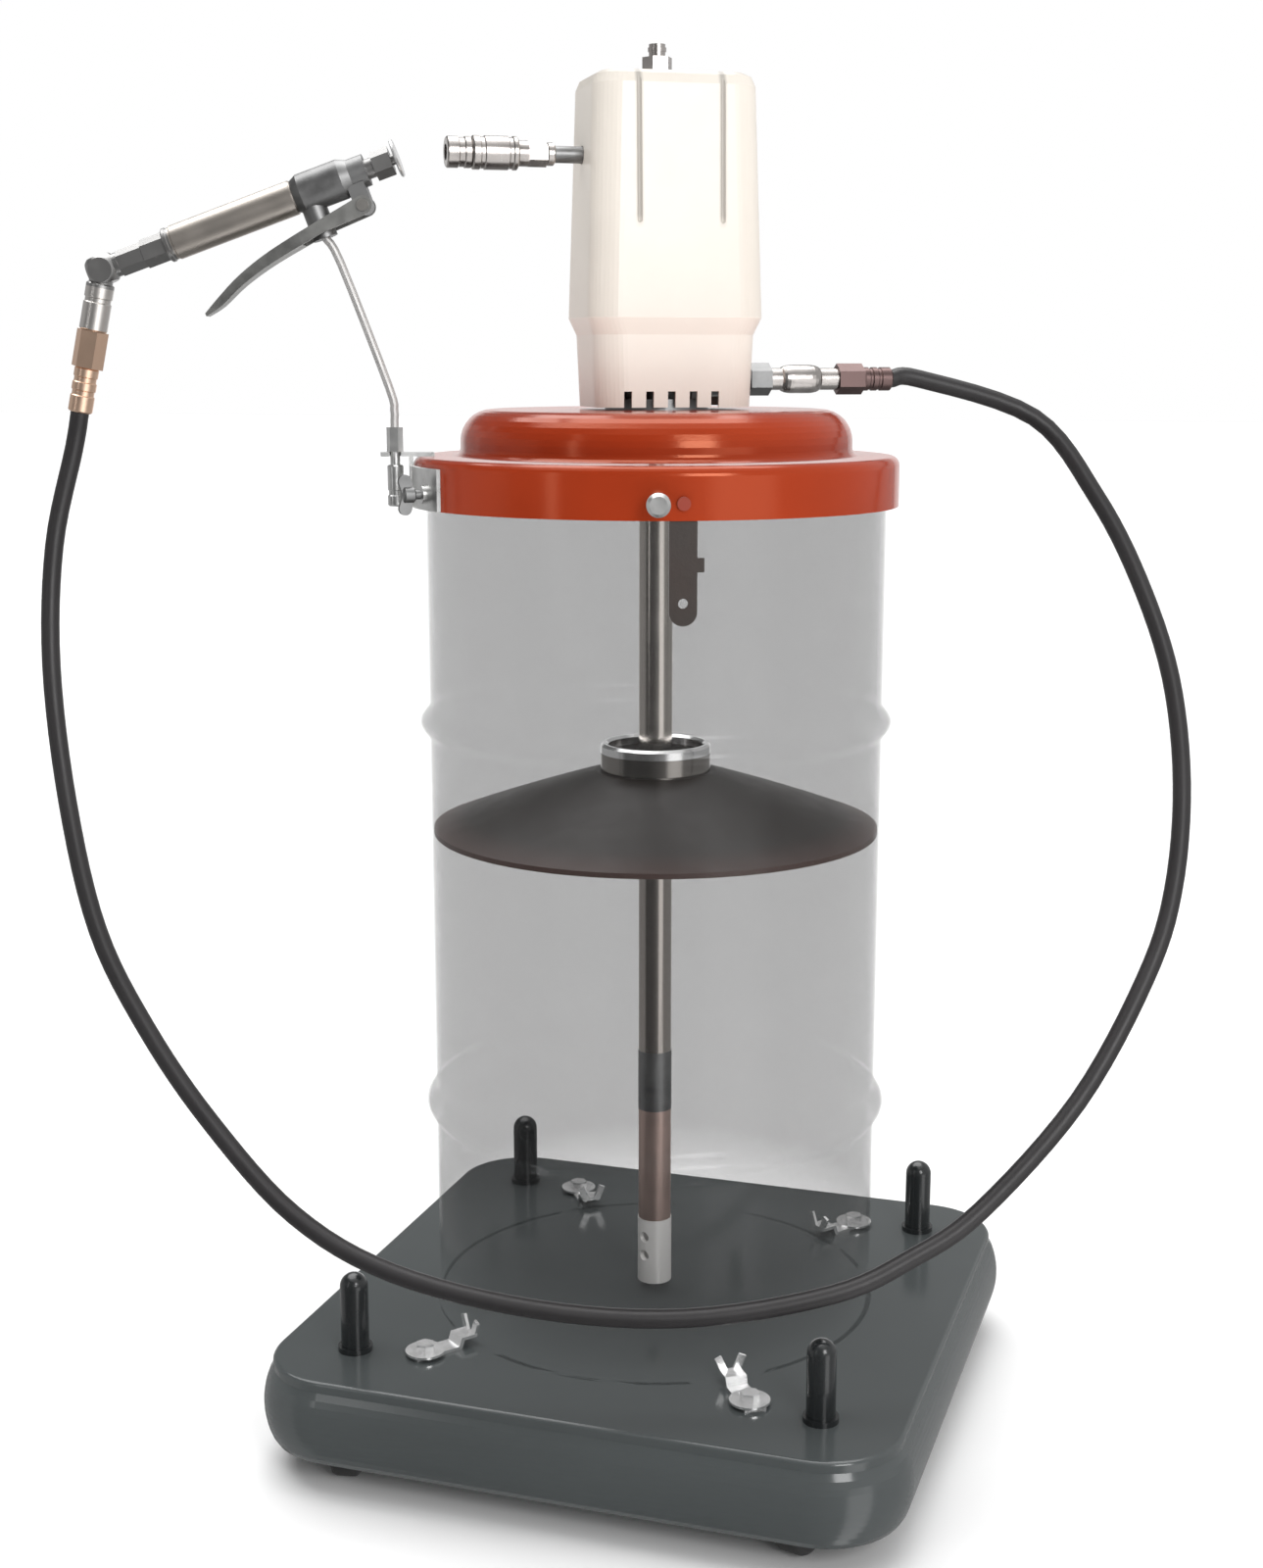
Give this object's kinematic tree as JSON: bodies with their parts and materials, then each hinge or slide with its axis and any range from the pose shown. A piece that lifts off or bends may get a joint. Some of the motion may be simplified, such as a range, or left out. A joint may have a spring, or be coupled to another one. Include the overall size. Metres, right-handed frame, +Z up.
{
  "type": "pneumatic grease pump",
  "caption": "Air-operated grease pump on a wheeled dolly with a clamped drum cover, follower, high-pressure hose and lever grease gun.",
  "frame": {"origin": "on the floor, on the pump's axis, in the middle of the dolly", "axes": "+X to the right along the dolly's front edge, +Y to the back, +Z up"},
  "size_m": [0.8511, 0.54, 1.085],
  "materials": {
    "charcoal_paint": "gloss",
    "black_plastic": "gloss",
    "steel": "satin",
    "nickel": "satin",
    "chrome": "polished",
    "red_paint": "gloss",
    "drum_paint": "satin",
    "cream_plastic": "gloss",
    "brass": "satin",
    "dark_rubber": "matte",
    "black_rubber": "satin",
    "dark_cast": "satin",
    "aluminium": "satin"
  },
  "bodies": {
    "dolly": {"dolly_pan": "charcoal_paint", "corner_posts": "black_plastic", "caster_stems": "steel", "drum_clips": "chrome", "clip_bolts": "chrome", "drum_shell": "drum_paint"},
    "follower": {"follower_cone": "dark_rubber", "follower_collar": "chrome", "follower_wiper": "dark_rubber", "follower_plate": "steel"},
    "cover": {"drum_cover": "red_paint", "cover_gasket": "black_rubber", "clamp_nuts": "steel", "gun_bracket": "chrome", "rim_strap": "dark_cast", "pump_base": "aluminium", "base_bolts": "steel", "packing_gland": "brass", "lower_housing": "cream_plastic", "upper_housing": "cream_plastic", "cylinder_base": "aluminium", "air_cylinder": "aluminium", "valve_head": "aluminium", "tie_rods": "steel", "cap_nut": "nickel", "pump_tube": "chrome", "tube_coupling": "dark_cast", "lower_tube": "brass", "foot_valve": "nickel", "inlet_nipple": "dark_cast", "coupler_body": "nickel", "outlet_adapter": "steel", "outlet_union": "nickel", "hose_ferrules": "brass", "hose": "black_rubber"},
    "piston": {"air_piston": "aluminium", "piston_seal": "black_rubber", "pump_rod": "steel"},
    "ball": {"check_ball": "steel"},
    "sleeve": {"coupler_sleeve": "nickel"},
    "screw_front": {"clamp_screw_front": "dark_cast"},
    "screw_right": {"clamp_screw_right": "dark_cast"},
    "screw_left": {"clamp_screw_left": "dark_cast"},
    "wing_screw": {"bracket_screw": "dark_cast"},
    "elbow": {"swivel_elbow": "nickel"},
    "gun": {"gun_grip": "nickel", "valve_body": "dark_cast", "lever_pin": "steel", "gun_end_plug": "steel", "extension_pipe": "nickel", "hydraulic_coupler": "nickel"},
    "lever": {"gun_lever": "black_plastic"},
    "fork_fl": {"caster_fork_fl": "steel"},
    "wheel_fl": {"caster_wheel_fl": "black_plastic"},
    "fork_fr": {"caster_fork_fr": "steel"},
    "wheel_fr": {"caster_wheel_fr": "black_plastic"},
    "fork_bl": {"caster_fork_bl": "steel"},
    "wheel_bl": {"caster_wheel_bl": "black_plastic"},
    "fork_br": {"caster_fork_br": "steel"},
    "wheel_br": {"caster_wheel_br": "black_plastic"}
  },
  "joints": [
    {"name": "swivel_fl", "type": "hinge", "parent": "dolly", "child": "fork_fl", "pos_m": [-0.187, -0.187, 0.079], "axis": [0, 0, 1], "continuous": true},
    {"name": "roll_fl", "type": "hinge", "parent": "fork_fl", "child": "wheel_fl", "pos_m": [-0.18159, -0.21243, 0.031], "axis": [0.9781, 0.2079, 0], "continuous": true},
    {"name": "swivel_fr", "type": "hinge", "parent": "dolly", "child": "fork_fr", "pos_m": [0.187, -0.187, 0.079], "axis": [0, 0, 1], "continuous": true},
    {"name": "roll_fr", "type": "hinge", "parent": "fork_fr", "child": "wheel_fr", "pos_m": [0.18071, -0.21223, 0.031], "axis": [0.9703, -0.2419, 0], "continuous": true},
    {"name": "swivel_bl", "type": "hinge", "parent": "dolly", "child": "fork_bl", "pos_m": [-0.187, 0.187, 0.079], "axis": [0, 0, 1], "continuous": true},
    {"name": "roll_bl", "type": "hinge", "parent": "fork_bl", "child": "wheel_bl", "pos_m": [-0.17811, 0.16257, 0.031], "axis": [0.9397, 0.342, 0], "continuous": true},
    {"name": "swivel_br", "type": "hinge", "parent": "dolly", "child": "fork_br", "pos_m": [0.187, 0.187, 0.079], "axis": [0, 0, 1], "continuous": true},
    {"name": "roll_br", "type": "hinge", "parent": "fork_br", "child": "wheel_br", "pos_m": [0.18428, 0.16114, 0.031], "axis": [0.9945, -0.1045, 0], "continuous": true},
    {"name": "follower_slide", "type": "slide", "parent": "dolly", "child": "follower", "axis": [0, 0, 1], "range_m": [-0.385, 0.245]},
    {"name": "cover_lift", "type": "slide", "parent": "dolly", "child": "cover", "axis": [0, 0, 1], "range_m": [0, 0.7]},
    {"name": "pump_stroke", "type": "slide", "parent": "cover", "child": "piston", "axis": [0, 0, 1], "range_m": [0, 0.064]},
    {"name": "ball_lift", "type": "slide", "parent": "cover", "child": "ball", "axis": [0, 0, 1], "range_m": [0, 0.006]},
    {"name": "sleeve_pull", "type": "slide", "parent": "cover", "child": "sleeve", "axis": [0.8434, 0.5373, 0], "range_m": [0, 0.006], "stiffness_N_per_m": 600},
    {"name": "front_clamp", "type": "slide", "parent": "cover", "child": "screw_front", "axis": [-0.309, 0.9511, 0], "range_m": [0, 0.004]},
    {"name": "right_clamp", "type": "slide", "parent": "cover", "child": "screw_right", "axis": [-0.6691, -0.7431, 0], "range_m": [0, 0.004]},
    {"name": "left_clamp", "type": "slide", "parent": "cover", "child": "screw_left", "axis": [0.9781, -0.2079, 0], "range_m": [0, 0.004]},
    {"name": "bracket_clamp", "type": "slide", "parent": "cover", "child": "wing_screw", "axis": [0.729, 0.6845, 0], "range_m": [0, 0.004]},
    {"name": "hose_swivel", "type": "hinge", "parent": "cover", "child": "elbow", "pos_m": [-0.3902, -0.1534, 0.91885], "axis": [-0.1977, -0.0642, -0.9781], "range_deg": [0, 120]},
    {"name": "handle_swivel", "type": "hinge", "parent": "elbow", "child": "gun", "pos_m": [-0.3902, -0.1534, 0.91885], "axis": [-0.8937, -0.2904, -0.342], "range_deg": [0, 180]},
    {"name": "lever_squeeze", "type": "hinge", "parent": "gun", "child": "lever", "pos_m": [-0.20097, -0.09192, 0.96573], "axis": [-0.309, 0.9511, 0], "range_deg": [0, 12], "stiffness_Nm_per_rad": 4}
  ]
}
